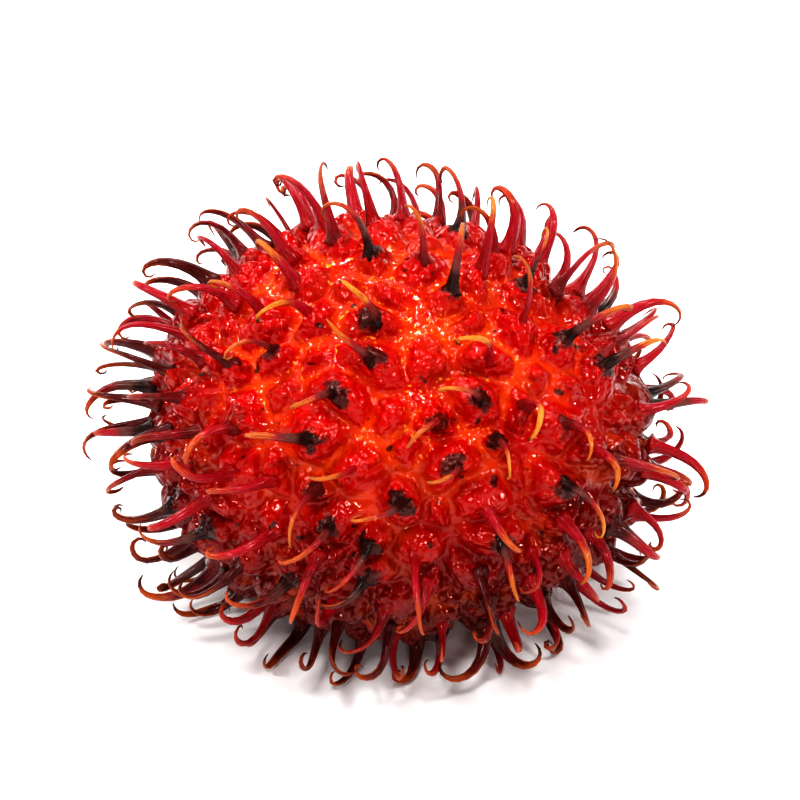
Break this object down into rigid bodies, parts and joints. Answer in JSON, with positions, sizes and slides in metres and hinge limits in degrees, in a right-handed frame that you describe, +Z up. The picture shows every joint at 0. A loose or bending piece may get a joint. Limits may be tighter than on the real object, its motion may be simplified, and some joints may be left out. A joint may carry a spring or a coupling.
{
  "type": "rambutan",
  "caption": "Whole ripe rambutan lying on its side: an egg-shaped leathery rind covered all over with soft hooked spines.",
  "frame": {"origin": "middle of the small flat spot on the underside that the fruit rests on", "axes": "+X along the fruit's long axis, towards its slimmer end; +Z up, away from the surface it rests on"},
  "size_m": [0.0629, 0.0541, 0.0452],
  "materials": {
    "rind": "moist, glossy"
  },
  "bodies": {
    "root": {"rambutan": "rind"}
  },
  "joints": []
}
